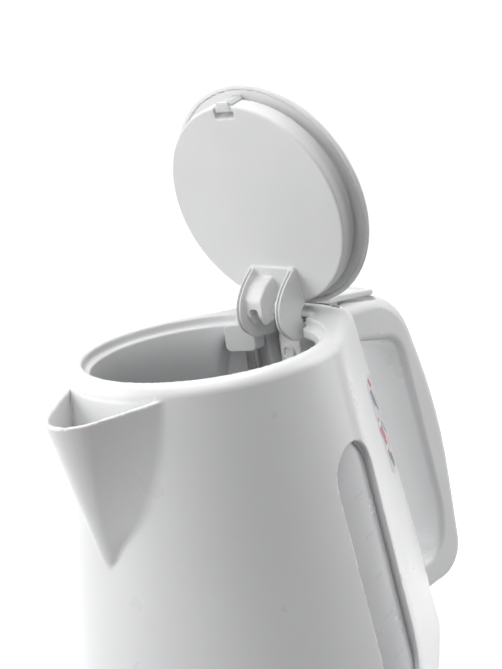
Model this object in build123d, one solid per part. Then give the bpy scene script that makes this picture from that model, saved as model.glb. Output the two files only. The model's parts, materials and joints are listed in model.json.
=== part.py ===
from build123d import *
import math
import os

os.makedirs("parts", exist_ok=True)

# Electric kettle on its power base. Millimetres, +Z up, spout towards -X, handle towards +X.
# The origin is the centre of the underside of the power base. The lid stands open.

# ---- driving dimensions ----------------------------------------------------------------------
RIM_Z = 205.0            # top of the kettle's rim above the table
FOOT_Z = 20.3            # lower edge of the kettle's skirt
WALL = 2.5               # moulded wall thickness
RIM_R = 59.0             # outer radius of the body at the rim
TAPER = 0.14             # radius gained per mm going down
KNEE_Z = 70.0            # below this the wall turns vertical
SKIRT_Z = 34.0           # from here down the wall is vertical
MOUTH_R = 52.0           # mouth of the rim
NECK_R = 49.3            # neck below the mouth
SHOULDER = 5.0           # rounding of the rim

LID_R = 53.6             # outer radius of the lid
PLUG_R = 48.0            # plug under the lid
PLUG_FACE = -9.4         # face of the plug, below the rim, lid closed
HINGE_X = 59.8
HINGE_Z = RIM_Z - 6.6
OPEN_ANGLE = 75.6        # lid as modelled, degrees from closed
PIN_R = 1.5
BORE_GAP = 0.05          # running clearance of a pin in its bore

PILLAR_Y = 25.0          # half width of the pillar's rear face
PILLAR_X = 71.0          # rear face at the rim
PILLAR_TAPER = 0.252     # gained per mm going down
TANGENT_DEG = 58.0       # where the pillar's flanks leave the round body

HANDLE_W = 30.0
HANDLE_WALL = 2.6

GAUGE_DEG = 77.5         # direction of the water gauge, from the handle
GAUGE_W = 28.0
GAUGE_TOP = RIM_Z - 40.0
GAUGE_LEN = 116.0

SPOUT_TIP_X = -85.0      # foremost point of the pouring beak
SPOUT_LIP_Z = RIM_Z - 5.3
SPOUT_LOW_Z = RIM_Z - 76.0
SPOUT_HALF_W = 28.0
SPOUT_WALL = 2.2
LIP_SLOPE = 7.4          # degrees the lip falls towards the tip

WELL_X = (50.0, 66.0)    # recess in the rim for the lid's hinge
WELL_HALF_W = 15.6
WELL_DEPTH = 34.0

TUBE_X, TUBE_Y, TUBE_R = 50.2, 20.0, 3.4      # steam tube
TUBE_FOOT_Z = 40.5
DISC_SEAT_Z = 36.6       # arm of the control that carries the steam disc

LEVER_PIN = (77.0, RIM_Z - 3.6)               # x, z of the lid lever's pin
LEVER_PIN_R = 1.2
LEVER_HALF_W = 12.0
SWITCH_PIN = (104.0, 31.0)                    # x, z of the switch's pin
LINK_Z = (36.4, 38.2)                         # underside and top of the push rod

BASE_R = 78.0
BASE_TOP = 20.0
PLATE_Z = 46.7           # underside of the heated floor
POST_RADIUS = 74.2       # circle of the posts for the bottom cover's screws
BASE_SCREW_RADIUS = 48.0
CONTROL_SCREW_RADIUS = 20.0
FOOT_RADIUS = 64.0       # circle of the four rubber feet


# ---- small helpers ---------------------------------------------------------------------------
def box(x0, x1, y0, y1, z0, z1):
    return Pos((x0 + x1) / 2, (y0 + y1) / 2, (z0 + z1) / 2) * Box(x1 - x0, y1 - y0, z1 - z0)


def cyl_z(x, y, z0, z1, r):
    return Pos(x, y, (z0 + z1) / 2) * Cylinder(r, z1 - z0)


def cyl_y(x, z, y0, y1, r):
    return Pos(x, (y0 + y1) / 2, z) * Rot(90, 0, 0) * Cylinder(r, y1 - y0)


def cyl_x(y, z, x0, x1, r):
    return Pos((x0 + x1) / 2, y, z) * Rot(0, 90, 0) * Cylinder(r, x1 - x0)


def ring_at(x, y, r0, r1, z0, z1):
    return cyl_z(x, y, z0, z1, r1) - cyl_z(x, y, z0 - 1, z1 + 1, r0)


def ring(r0, r1, z0, z1):
    return ring_at(0, 0, r0, r1, z0, z1)


def lathe(points, arc=360.0):
    """Solid turned about Z from a closed outline of (radius, height) points."""
    face = Plane.XZ * make_face(Polyline(*points, close=True))
    return revolve(face, Axis.Z, arc)


def side_plate(points, y0, y1):
    """Flat plate between two values of Y from a closed (x, z) outline."""
    face = Plane.XZ * make_face(Polyline(*points, close=True))
    return Pos(0, y1, 0) * extrude(face, y1 - y0)


def around(count, radius, start=0.0):
    for i in range(count):
        a = math.radians(start + 360.0 * i / count)
        yield radius * math.cos(a), radius * math.sin(a)


def screw(x, y, z, length, r=1.5):
    """Pan-head screw: the head's outer face is at z, and the shank goes up."""
    head = cyl_z(x, y, z, z + 1.8, 2.9)
    shank = cyl_z(x, y, z, z + length, r)
    slot = box(x - 3, x + 3, y - 0.4, y + 0.4, z, z + 0.8)
    return head + shank - slot


def coil_on_y(x, z, y0, turns, r, wire, leg):
    """Closely wound torsion spring as closed turns along Y, with two straight legs."""
    pitch = 2.2 * wire
    body = [Pos(x, y0 + i * pitch, z) * Rot(90, 0, 0) * Torus(r, wire) for i in range(turns)]
    y1 = y0 + (turns - 1) * pitch
    body.append(cyl_z(x + r, y0, z - leg, z - 1.3 * wire, wire))
    body.append(cyl_z(x - r, y1, z - leg, z - 1.3 * wire, wire))
    return body


# ---- body outline ----------------------------------------------------------------------------
def wall_r(z):
    """Outer radius of the round body at height z."""
    if z >= KNEE_Z:
        return RIM_R + TAPER * (RIM_Z - z)
    low = max(z, SKIRT_Z)
    drop = KNEE_Z - low
    return wall_r(KNEE_Z) + TAPER * (drop - drop * drop / (2 * (KNEE_Z - SKIRT_Z)))


def round_body(inset=0.0, z0=FOOT_Z, z1=RIM_Z):
    """The round body as a solid, its surface moved inwards by inset."""
    levels = [z1, KNEE_Z, 58, 46, SKIRT_Z, z0]
    points = [(0, z0), (0, z1)] + [(wall_r(z) - inset, z) for z in levels]
    return lathe(points)


def pillar_rear(z):
    """X of the pillar's flat rear face at height z."""
    return PILLAR_X + PILLAR_TAPER * (RIM_Z - z)


def pillar_section(z, inset=0.0):
    """Outline that carries the handle: from the round body's flanks to a flat rear face."""
    r = wall_r(z)
    a = math.radians(TANGENT_DEG)
    tx, ty = r * math.cos(a), r * math.sin(a)
    rear = pillar_rear(z)
    outline = Polyline((0, 0), (tx, -ty), (rear, -PILLAR_Y), (rear, PILLAR_Y), (tx, ty), close=True)
    sketch = make_face(outline)
    corners = sketch.vertices().sort_by(Axis.X)[-2:]
    sketch = fillet(corners, 7.0)
    if inset:
        sketch = offset(sketch, -inset, kind=Kind.INTERSECTION)
    return Pos(0, 0, z) * sketch


def pillar(z0, z1, inset=0.0):
    levels = sorted({z0, KNEE_Z, z1} if z0 < KNEE_Z < z1 else {z0, z1})
    return loft([pillar_section(z, inset) for z in levels], ruled=True)


# ---- spout -----------------------------------------------------------------------------------
def spout_section(z, inset):
    """Rounded V at height z: its back lies inside the wall and its nose on the ridge."""
    t = max(0.0, min(1.0, (SPOUT_LIP_Z - z) / (SPOUT_LIP_Z - SPOUT_LOW_Z)))
    w = SPOUT_HALF_W * (1 - t * t) ** 0.65 + 0.4 - inset
    r = wall_r(z)
    back = -math.sqrt(r * r - w * w) + 2.0
    nose_x = SPOUT_TIP_X + (SPOUT_TIP_X + wall_r(SPOUT_LOW_Z)) * -t + inset
    nose_w = 0.42 * w
    cheek_x = nose_x + 0.36 * nose_w
    flanks = Polyline((cheek_x, nose_w), (back, w), (back, -w), (cheek_x, -nose_w))
    nose = ThreePointArc((cheek_x, -nose_w), (nose_x, 0), (cheek_x, nose_w))
    return Pos(0, 0, z) * make_face(flanks + nose)


def spout_solid(inset, low):
    levels = [RIM_Z + 1, RIM_Z - 20, RIM_Z - 40, RIM_Z - 58, low]
    return loft([spout_section(z, inset) for z in levels], ruled=True)


def above_lip():
    """Everything above the plane of the spout's lip."""
    block = Pos(-30, 0, 20) * Box(100, 80, 40)
    return Pos(-52.5, 0, SPOUT_LIP_Z) * Rot(0, -LIP_SLOPE, 0) * block


# ---- water gauge -----------------------------------------------------------------------------
def gauge_tool(side):
    """Slot-shaped prism that passes through the wall where the gauge sits."""
    slot = Rot(0, 0, 90) * SlotOverall(GAUGE_LEN, GAUGE_W)
    mid_z = GAUGE_TOP - GAUGE_LEN / 2
    prism = extrude(slot, 30)
    tilt = math.degrees(math.atan(TAPER))
    stand = Rot(0, 90 + tilt, 0) * Rot(0, 0, 90)
    return Rot(0, 0, side * GAUGE_DEG) * Pos(wall_r(mid_z) - 14, 0, mid_z) * stand * prism


def water_gauge(side):
    shell = round_body(1.2, 40, 180) - round_body(3.0, 39, 181)
    return shell & gauge_tool(side)


# ---- kettle body -----------------------------------------------------------------------------
def vessel_cavity():
    """Water space with the mouth and neck above it."""
    top = [(wall_r(z) - WALL, z) for z in (51.5, 58, KNEE_Z, 192.0)]
    neck = [(NECK_R, 198.0), (NECK_R, 200.8), (MOUTH_R, 200.8), (MOUTH_R, RIM_Z + 1)]
    return lathe([(0, 45), (66, 45), (66, 51.5)] + top + neck + [(0, RIM_Z + 1)])


def underfloor_cavity():
    side = [(wall_r(z) - WALL, z) for z in (46.0, SKIRT_Z, 10.0)]
    return lathe([(0, 10), (0, 49), (wall_r(49) - WALL, 49)] + side)


def hinge_well():
    floor = RIM_Z - WELL_DEPTH
    well = box(*WELL_X, -WELL_HALF_W, WELL_HALF_W, floor, RIM_Z - 2.6)
    notch = box(45, 57.0, -WELL_HALF_W, WELL_HALF_W, floor, RIM_Z + 2)
    return well + notch


def pour_slots():
    slots = box(-64, -50, -1.6, 1.6, RIM_Z - 42, RIM_Z - 12)
    for y in (-13, -6.5, 6.5, 13):
        slots += box(-64, -48, y - 1.6, y + 1.6, RIM_Z - 38, RIM_Z - 12)
    return slots


def make_body():
    outer = round_body() + pillar(FOOT_Z, RIM_Z)
    top = outer.faces().sort_by(Axis.Z)[-1]
    outer = fillet(top.outer_wire().edges(), SHOULDER)
    outer += spout_solid(0.0, SPOUT_LOW_Z + 1) - above_lip()
    body = outer - vessel_cavity() - underfloor_cavity()
    body -= spout_solid(SPOUT_WALL, RIM_Z - 70) - round_body()
    under = [(86, 10), (125, 10), (125, 33.5), (86, 20.3)]
    floor = [(60, 10), (125, 10), (125, 36.1), (86, 22.9), (60, 22.9)]
    body -= side_plate(under, -60, 60) - round_body(0.0, 5)
    body -= pillar(FOOT_Z - 1, RIM_Z - 40, WALL) - round_body() - side_plate(floor, -60, 60)
    body -= box(60, 100, -10, 10, 25, 45)
    body -= box(102, 130, -8.6, 8.6, 24.0, 36.4)
    body -= screw_bores()
    body -= cyl_y(*SWITCH_PIN, -9.5, 9.5, PIN_R + 0.02)
    body -= hinge_well()
    body -= box(-MOUTH_R - 1, -44, -5, 5, 190, RIM_Z + 1) & cyl_z(0, 0, 190, RIM_Z + 1, MOUTH_R)
    body -= pour_slots()
    body -= box(70.4, 80, -LEVER_HALF_W - 0.4, LEVER_HALF_W + 0.4, RIM_Z - 9, RIM_Z + 2)
    for side in (-1, 1):
        body -= gauge_tool(side)
    for x, y in around(3, POST_RADIUS, 60.0):
        post = cyl_z(x, y, 25.0, 41.5, 4.2) & round_body(1.0)
        body += post - cyl_z(x, y, 20, 40, 1.55)
    return body


# ---- handle ----------------------------------------------------------------------------------
def handle_outline():
    top_z, low_z = RIM_Z - 1.0, RIM_Z - 168.0
    corners = [(60, top_z), (121.5, RIM_Z - 4.0), (149.5, RIM_Z - 75.0), (157.5, RIM_Z - 168.5), (132, low_z)]
    back = FilletPolyline(*corners, radius=[36.0, 240.0, 18.0])
    foot = Polyline((132, low_z), (90, low_z - 2), (60, top_z))
    return make_face(back + foot)


def finger_outline():
    left_top = (78.5, RIM_Z - 20.5)
    left_low = (108.0, RIM_Z - 150.0)
    points = [left_top, (117.5, RIM_Z - 29), (138.5, RIM_Z - 128), (136, RIM_Z - 150.0), left_low]
    hole = make_face(Polyline(*points, close=True))
    right = hole.vertices().sort_by(Axis.X)[-3:]
    return fillet(right, 12.0)


def handle_prism(sketch, half):
    return Pos(0, half, 0) * extrude(Plane.XZ * sketch, 2 * half)


def make_handle():
    """Inner half and outer cover of the hollow handle."""
    half = HANDLE_W / 2
    outline, hole = handle_outline(), finger_outline()
    solid = handle_prism(outline, half)
    rims = solid.edges().filter_by(lambda e: abs(e.center().Y) > half - 0.1 and e.center().X > 76)
    solid = fillet(rims, 5.5)
    solid -= handle_prism(hole, half + 1)
    hollow = handle_prism(offset(outline, -HANDLE_WALL), half - HANDLE_WALL)
    hollow -= handle_prism(offset(hole, HANDLE_WALL), half)
    hollow -= pillar(10, RIM_Z + 20) + Pos(HANDLE_WALL, 0, 0) * pillar(10, RIM_Z + 20)
    shell = solid - hollow - pillar(10, RIM_Z + 20)
    shell -= box(60, 105.9, -LEVER_HALF_W - 0.4, LEVER_HALF_W + 0.4, RIM_Z - 9, RIM_Z + 10)
    shell -= cyl_y(*LEVER_PIN, -14.1, 14.1, LEVER_PIN_R + 0.02) + screw_bores()
    middle = handle_prism(offset(outline, -9.0), half + 2) + box(50, 106, -20, 20, 30, 210)
    inner = shell & middle
    cover = shell - middle
    return inner, cover


SCREW_PLACES = [(y, z) for z in (RIM_Z - 15.0, RIM_Z - 158.5) for y in (-7.5, 7.5)]


def handle_screws():
    """Four screws that pull the handle's end walls against the pillar from inside the handle."""
    screws = []
    for y, z in SCREW_PLACES:
        seat = pillar_rear(z) + HANDLE_WALL + 1.0
        screws.append(cyl_x(y, z, seat - 10, seat + 0.5, 1.4) + cyl_x(y, z, seat, seat + 1.8, 2.6))
    return screws


def screw_bores():
    bores = [cyl_x(y, z, pillar_rear(z) - 7.5, pillar_rear(z) + 4.0, 1.45) for y, z in SCREW_PLACES]
    return Part() + bores


# ---- lid, drawn closed and then turned open about its hinge ----------------------------------
HINGE_AXIS = Axis((HINGE_X, 0, HINGE_Z), (0, 1, 0))


def open_lid(shape):
    return shape.rotate(HINGE_AXIS, OPEN_ANGLE)


def make_lid_cover():
    z = RIM_Z
    points = [(0, z + 7.6), (20, z + 7.3), (36, z + 6.4), (47, z + 5.2), (52.4, z + 4.0), (LID_R, z + 2.9),
              (LID_R, z + 1.6), (53.0, z + 0.7), (51.4, z + 0.6), (51.4, z + 3.0), (36, z + 4.1),
              (20, z + 5.0), (0, z + 5.3)]
    return lathe(points)


def make_lid_inner():
    z, r = RIM_Z, PLUG_R
    points = [(0, z + PLUG_FACE), (r - 0.8, z + PLUG_FACE), (r, z + PLUG_FACE + 0.8), (r, z - 1.4),
              (r - 1.4, z - 1.0), (r - 1.4, z + 0.6), (51.2, z + 1.0), (51.2, z + 2.9), (44.6, z + 2.9),
              (44.6, z + PLUG_FACE + 2), (0, z + PLUG_FACE + 2)]
    return lathe(points) - box(-60, -40, -4.2, 4.2, z + PLUG_FACE + 2, z + 0.4)


def make_lid_catch():
    z = RIM_Z
    tongue = box(-48.3, -45.4, -3.7, 3.7, z + PLUG_FACE + 2.3, z + 0.1)
    for y in (-2.6, 0, 2.6):
        tongue += box(-48.9, -48.2, y - 0.6, y + 0.6, z - 5.5, z - 0.2)
    ledge = box(-48.9, -46, -3.7, 3.7, z + PLUG_FACE + 2.3, z + PLUG_FACE + 3.5)
    return tongue + ledge


def ear_outline():
    """Side view of one hinge cheek, lid closed."""
    z = RIM_Z + 3.0
    return [(28.5, z - 12.4), (32.0, z - 19.6), (37.0, z - 26.3), (41.0, z - 29.4), (46.0, z - 30.9),
            (52.0, z - 30.6), (57.0, z - 27.0), (60.5, z - 21.0), (HINGE_X + 3.2, z - 12.0),
            (HINGE_X + 3.3, z - 9.6), (HINGE_X, z - 6.3), (HINGE_X - 3.3, z - 9.6), (54.5, z - 16.6),
            (50.5, z - 18.0), (46.0, z - 12.4)]


def make_lid_hinge():
    ears = side_plate(ear_outline(), 10.5, 13.0) + side_plate(ear_outline(), -13.0, -10.5)
    z = RIM_Z + 3.0
    barrel = side_plate([(33, z - 12.4), (35, z - 19), (39.5, z - 24.5), (47, z - 26.5), (51.5, z - 25),
                         (51.5, z - 21), (46, z - 18.0), (43, z - 12.4)], 1.5, 10.5)
    barrel -= box(45.5, 49.5, 3.8, 8.2, z - 30, z - 21.5)
    foot = box(29, 44, -13, 13, z - 13.8, z - 12.4)
    hinge = ears + barrel + foot
    hinge -= cyl_y(HINGE_X, HINGE_Z, -20, 20, PIN_R + BORE_GAP)
    return hinge


# ---- hinge fittings on the body --------------------------------------------------------------
def make_hinge_bracket():
    z = RIM_Z
    bracket = box(63.6, 65.8, -15.2, 15.2, z - 33.8, z - 3)
    bracket += box(54.6, 64, -6.2, 6.2, z - 33.8, z - 11)
    bracket += box(58.4, 64, -6.2, 6.2, z - 12, z - 4.0)
    for side in (-1, 1):
        y0, y1 = sorted((side * 13.6, side * 15.2))
        bracket += box(57.4, 64, y0, y1, z - 12, z - 3.4)
    bracket += cyl_x(1.0, z - 19.5, 53.4, 55, 4.2) - cyl_x(1.0, z - 19.5, 53, 54.6, 2.2)
    return bracket - cyl_y(HINGE_X, HINGE_Z, -20, 20, PIN_R + 0.02)


def make_steam_hood():
    """Block on the inner wall that takes the steam and holds the top of the tube."""
    hood = ring(49.6, 58.2, RIM_Z - 18.5, RIM_Z - 13.4)
    hood &= box(40, 60, 14.6, 30.5, RIM_Z - 19, RIM_Z - 8)
    return hood - cyl_z(TUBE_X, TUBE_Y, RIM_Z - 20, RIM_Z - 14.6, TUBE_R)


def make_steam_tube():
    tube = cyl_z(TUBE_X, TUBE_Y, TUBE_FOOT_Z, RIM_Z - 14.6, TUBE_R)
    return tube - cyl_z(TUBE_X, TUBE_Y, 30, RIM_Z, TUBE_R - 0.8)


# ---- lid release lever in the top of the handle ----------------------------------------------
def make_lid_lever():
    z = RIM_Z
    lever = side_plate([(72.0, z + 0.6), (72.0, z + 3.2), (104.2, z - 0.4), (105.4, z - 1.2),
                        (105.4, z - 3.6)], -LEVER_HALF_W, LEVER_HALF_W)
    x = LEVER_PIN[0]
    lug = [(x - 3, z + 1.2), (x + 3.4, z + 0.6), (x + 3.4, z - 4.0), (x + 1.6, z - 6.4), (x - 1.6, z - 6.4),
           (x - 3.0, z - 4.0)]
    lever += side_plate(lug, 6.2, 9.8) + side_plate(lug, -9.8, -6.2)
    return lever - cyl_y(*LEVER_PIN, -20, 20, LEVER_PIN_R + BORE_GAP)


# ---- spout filter ----------------------------------------------------------------------------
def wall_patch(gap_out, gap_in, z0, z1, half_deg):
    """Piece of a shell that follows the inner wall behind the spout."""
    a, b = WALL + gap_out, WALL + gap_in
    outline = [(wall_r(z0) - b, z0), (wall_r(z0) - a, z0), (wall_r(z1) - a, z1), (wall_r(z1) - b, z1)]
    return Rot(0, 0, 180 - half_deg) * lathe(outline, 2 * half_deg)


def make_filter():
    z1, z0 = RIM_Z - 15.0, RIM_Z - 66.0
    frame = wall_patch(0.3, 3.0, z0, z1, 20) - wall_patch(-1, 4, z0 + 4, z1 - 5, 17)
    frame += wall_patch(0.3, 3.0, z0 + 22, z0 + 24.4, 18)
    cloth = wall_patch(1.4, 1.9, z0 + 4, z1 - 5, 17) - wall_patch(0.3, 3.0, z0 + 22, z0 + 24.4, 18)
    return frame, cloth


# ---- heated floor and control ----------------------------------------------------------------
def make_floor():
    plate = cyl_z(0, 0, PLATE_Z, PLATE_Z + 1, 71)
    plate -= cyl_z(TUBE_X, TUBE_Y, 40, 60, TUBE_R + 1.2)
    seal = ring(66.3, 74, 45.4, 49.0) - cyl_z(0, 0, PLATE_Z, PLATE_Z + 1, 71)
    grommet = ring_at(TUBE_X, TUBE_Y, TUBE_R, TUBE_R + 1.2, PLATE_Z, PLATE_Z + 1)
    grommet += ring_at(TUBE_X, TUBE_Y, TUBE_R, TUBE_R + 2.6, PLATE_Z + 1, PLATE_Z + 2.6)
    clamp = ring(66.5, 69.8, 42.4, 45.4)
    for x, y in around(6, 68.1, 30.0):
        clamp += cyl_z(x, y, 41.0, 42.6, 1.4)
    return plate, seal, grommet, clamp


def make_element():
    arc = CenterArc((0, 0, 41.0), 42.0, 40, 280)
    section = Plane(origin=arc @ 0, z_dir=arc % 0) * Circle(3.2)
    element = sweep(section, path=arc)
    for end in (0, 1):
        p = arc @ end
        element += cyl_z(p.X, p.Y, 33.0, 41.0, 1.6) + Pos(p.X, p.Y, 41.0) * Sphere(3.2)
    return element


def make_control():
    control = cyl_z(0, 0, 35.4, 42.0, 26) - box(18, 30, -9, 9, 37.5, 43)
    for x, y in around(3, CONTROL_SCREW_RADIUS, 90.0):
        control += cyl_z(x, y, 42.0, 44.1, 3.0)
        control -= cyl_z(x, y, 35.0, 44.2, 1.55) + cyl_z(x, y, 35.0, 37.6, 3.1)
    control += box(20, 46, 14.5, 23, 35.4, DISC_SEAT_Z)
    control += cyl_z(TUBE_X, TUBE_Y, 35.4, DISC_SEAT_Z, 7.5)
    return control


def make_steam_disc():
    """Bimetal disc on the control's arm, in the steam that leaves the tube's foot."""
    return cyl_z(TUBE_X, TUBE_Y, DISC_SEAT_Z, DISC_SEAT_Z + 0.5, 6.0)


# ---- cordless connector ----------------------------------------------------------------------
def make_kettle_connector():
    connector = ring(20, 23, 18, 33) + cyl_z(0, 0, 32, 35, 27)
    connector += cyl_z(0, 0, 16, 33, 3.5) + ring(10.6, 11.9, 20, 33)
    return connector


def make_base_connector():
    boss = cyl_z(0, 0, 4.2, 30, 19) + cyl_z(0, 0, 4.2, 14.0, 24)
    boss -= cyl_z(0, 0, 12, 31, 4.2) + ring(10, 12.5, 18, 31)
    return boss - cyl_z(0, 0, 4.0, 9.8, 16.0)


def make_base_contacts():
    blades = []
    for turn in (0, 120, 240):
        blade = box(4, 14, -1.5, 1.5, 9.0, 9.8) + box(13.2, 14, -1.5, 1.5, 5.2, 9.4)
        blades.append(Rot(0, 0, turn) * blade)
    return blades


# ---- power base ------------------------------------------------------------------------------
def make_base_cover():
    outside = [(0, 2.0), (BASE_R, 2.0), (BASE_R - 0.6, 15.0), (BASE_R - 3.5, 19.0), (BASE_R - 7, BASE_TOP),
               (60, BASE_TOP), (57, 16.5), (0, 16.5)]
    inside = [(0, 1.0), (BASE_R - 2.4, 1.0), (BASE_R - 2.9, 14.4), (BASE_R - 6, 17.0), (61, 17.6),
              (57.8, 14.2), (0, 14.2)]
    cover = lathe(outside) - lathe(inside) - cyl_z(0, 0, 0, 20, 19.3)
    for x, y in around(3, BASE_SCREW_RADIUS, 30.0):
        cover += ring_at(x, y, 1.55, 4.0, 4.4, 15.0)
    outlet = cyl_x(0, 6.0, 60, 90, 4.5)
    return cover - outlet


def make_base_plate():
    plate = cyl_z(0, 0, 2.0, 4.2, BASE_R - 2.6) + cyl_z(0, 0, 0, 2.2, 22)
    plate += ring(50.5, 52.5, 0.8, 2.2)
    for x, y in around(4, FOOT_RADIUS, 45.0):
        plate -= cyl_z(x, y, 1.0, 3.0, 8.0)
    for x, y in around(3, BASE_SCREW_RADIUS, 30.0):
        plate -= cyl_z(x, y, 1.0, 3.0, 3.2) + cyl_z(x, y, 1.0, 5.0, 1.55)
    return plate


def make_bottom_cover():
    cover = cyl_z(0, 0, 21.4, 23.6, wall_r(FOOT_Z) - WALL - 0.1) - cyl_z(0, 0, 20, 30, 23.5)
    cover += ring(30, 32, 23.4, 28)
    for x, y in around(3, POST_RADIUS, 60.0):
        cover -= cyl_z(x, y, 20, 23, 3.1) + cyl_z(x, y, 20, 25, 1.55)
    return cover


# ---- switch ----------------------------------------------------------------------------------
def make_switch_lever():
    x, z = SWITCH_PIN
    paddle = side_plate([(x - 4, z - 2.6), (x + 12, z - 2.2), (x + 25, z - 1.4), (x + 26, z + 0.6),
                         (x + 24, z + 2.4), (x + 12, z + 2.6), (x + 2.0, z + 2.6), (x + 1.6, z + 8.6),
                         (x - 1.6, z + 8.6), (x - 1.6, z + 2.6), (x - 4, z + 2.6)], -8, 8)
    return paddle - cyl_y(x, z, -10, 10, PIN_R + BORE_GAP)


def make_switch_link():
    z0, z1 = LINK_Z
    return box(34, 102.1, -4, 4, z0, z1) + box(27.0, 34.2, -6, 6, z0 + 1.2, z1 + 2)


# ---- sticker on the pillar -------------------------------------------------------------------
def make_badge():
    """Thin label lying on the pillar's right-hand flank, near its rear edge."""
    z0, z1 = RIM_Z - 96.0, RIM_Z - 28.0
    film = pillar(z0, z1, -0.3) - pillar(z0 - 1, z1 + 1)
    lean = math.degrees(math.atan(PILLAR_TAPER))
    window = Rot(0, 0, 90) * SlotOverall(56, 15)
    window = extrude(Plane.XZ * window, 80)
    return film & (Pos(73.0, 0, RIM_Z - 61.0) * Rot(0, -lean, 0) * window)


# ---- assembly --------------------------------------------------------------------------------
handle_inner, handle_cover = make_handle()
filter_frame, filter_mesh = make_filter()
floor_plate, floor_seal, tube_grommet, clamp_ring = make_floor()

nodes = {
    "body_shell": make_body(),
    "handle_inner": handle_inner,
    "handle_cover": handle_cover,
    "handle_screws": handle_screws(),
    "water_gauge_right": water_gauge(-1),
    "water_gauge_left": water_gauge(1),
    "handle_badge": make_badge(),
    "filter_frame": filter_frame,
    "filter_mesh": filter_mesh,
    "hinge_bracket": make_hinge_bracket(),
    "hinge_pin": cyl_y(HINGE_X, HINGE_Z, -15.2, 15.2, PIN_R),
    "lid_spring": coil_on_y(HINGE_X, HINGE_Z, 7.0, 4, 2.3, 0.35, 7.0),
    "steam_hood": make_steam_hood(),
    "steam_tube": make_steam_tube(),
    "lid_lever": make_lid_lever(),
    "lever_pin": cyl_y(*LEVER_PIN, -14.0, 14.0, LEVER_PIN_R),
    "lid_cover": open_lid(make_lid_cover()),
    "lid_inner": open_lid(make_lid_inner()),
    "lid_catch": open_lid(make_lid_catch()),
    "lid_hinge": open_lid(make_lid_hinge()),
    "floor_plate": floor_plate,
    "floor_seal": floor_seal,
    "tube_grommet": tube_grommet,
    "clamp_ring": clamp_ring,
    "heat_spreader": cyl_z(0, 0, 44.2, PLATE_Z, 46.0),
    "heating_element": make_element(),
    "control_body": make_control(),
    "control_screws": [screw(x, y, 35.6, 8.4) for x, y in around(3, CONTROL_SCREW_RADIUS, 90.0)],
    "steam_disc": make_steam_disc(),
    "kettle_connector": make_kettle_connector(),
    "bottom_cover": make_bottom_cover(),
    "bottom_screws": [screw(x, y, 21.0, 14) for x, y in around(3, POST_RADIUS, 60.0)],
    "switch_lever": make_switch_lever(),
    "switch_pin": cyl_y(*SWITCH_PIN, -9.4, 9.4, PIN_R),
    "switch_link": make_switch_link(),
    "base_cover": make_base_cover(),
    "base_plate": make_base_plate(),
    "base_connector": make_base_connector(),
    "base_contacts": make_base_contacts(),
    "base_feet": [cyl_z(x, y, 0, 3.0, 8.0) for x, y in around(4, FOOT_RADIUS, 45.0)],
    "base_screws": [screw(x, y, 1.1, 11) for x, y in around(3, BASE_SCREW_RADIUS, 30.0)],
}

for name, shape in nodes.items():
    solids = shape if isinstance(shape, list) else list(shape.solids())
    export_step(Compound(label=name, children=solids), "parts/" + name + ".step")
    print(name, len(solids), round(sum(s.volume for s in solids), 1))
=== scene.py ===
# %% [markdown]
# # A white kettle with its lid open
#
# The kettle is moulded plastic, and moulded plastic has no sharp edges: every corner is a small round,
# and big shapes run into each other through soft hollows. The measured CAD parts are loaded first, because
# every piece made here stands where its CAD part stands and moves with the same body.

# %% Load the measured frame
import json
import math

import bpy
import numpy as np
from mathutils import Matrix, Vector

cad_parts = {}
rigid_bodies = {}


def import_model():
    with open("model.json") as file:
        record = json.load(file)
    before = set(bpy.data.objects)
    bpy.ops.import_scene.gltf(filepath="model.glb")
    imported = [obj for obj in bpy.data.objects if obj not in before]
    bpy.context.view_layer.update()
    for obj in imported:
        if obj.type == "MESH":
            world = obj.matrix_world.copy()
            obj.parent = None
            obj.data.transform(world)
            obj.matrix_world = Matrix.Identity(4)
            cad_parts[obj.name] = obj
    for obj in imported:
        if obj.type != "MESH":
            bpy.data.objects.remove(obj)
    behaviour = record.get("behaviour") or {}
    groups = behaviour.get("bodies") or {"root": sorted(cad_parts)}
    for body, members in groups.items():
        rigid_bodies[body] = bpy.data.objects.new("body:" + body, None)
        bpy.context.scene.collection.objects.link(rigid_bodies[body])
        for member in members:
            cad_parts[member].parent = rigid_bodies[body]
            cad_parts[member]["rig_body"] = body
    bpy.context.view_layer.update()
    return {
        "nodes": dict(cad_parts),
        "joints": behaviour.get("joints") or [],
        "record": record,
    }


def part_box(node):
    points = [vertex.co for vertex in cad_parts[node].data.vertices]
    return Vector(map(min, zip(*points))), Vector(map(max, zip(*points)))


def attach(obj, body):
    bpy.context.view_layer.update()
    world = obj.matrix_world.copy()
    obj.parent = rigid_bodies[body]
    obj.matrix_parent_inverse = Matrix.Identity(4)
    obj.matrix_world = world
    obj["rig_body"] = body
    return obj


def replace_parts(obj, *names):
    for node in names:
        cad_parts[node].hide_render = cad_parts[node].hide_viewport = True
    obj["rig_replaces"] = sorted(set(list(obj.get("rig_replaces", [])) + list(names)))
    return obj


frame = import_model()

MM = 0.001
scene = bpy.context.scene

# %% [markdown]
# ## Distances that can be cut and joined
#
# A shape is written here as a distance: less than zero inside the plastic and more than zero outside. Two
# shapes are joined by the smaller distance and cut by the larger one. Booleans on meshes could do the same,
# but they leave hard edges that then need bevels. With distances the round is part of the join, so it comes
# out even where a beak, a rim and a pillar meet. All lengths in these functions are millimetres.

# %% Rounded cuts and joins
def both(a, b, r):
    """What lies in a and in b, its edge rounded to radius r."""
    corner = np.hypot(np.maximum(a + r, 0), np.maximum(b + r, 0))
    return np.minimum(np.maximum(a, b), -r) + corner


def join(a, b, r):
    """a and b together, with a hollow of radius r where they meet."""
    return -both(-a, -b, r)


def cut(a, b, r):
    """a with b taken out, its new edge rounded to radius r."""
    return both(a, -b, r)


def ease(t):
    """0 to 1, starting and stopping softly."""
    t = np.clip(t, 0, 1)
    return t * t * (3 - 2 * t)


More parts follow.
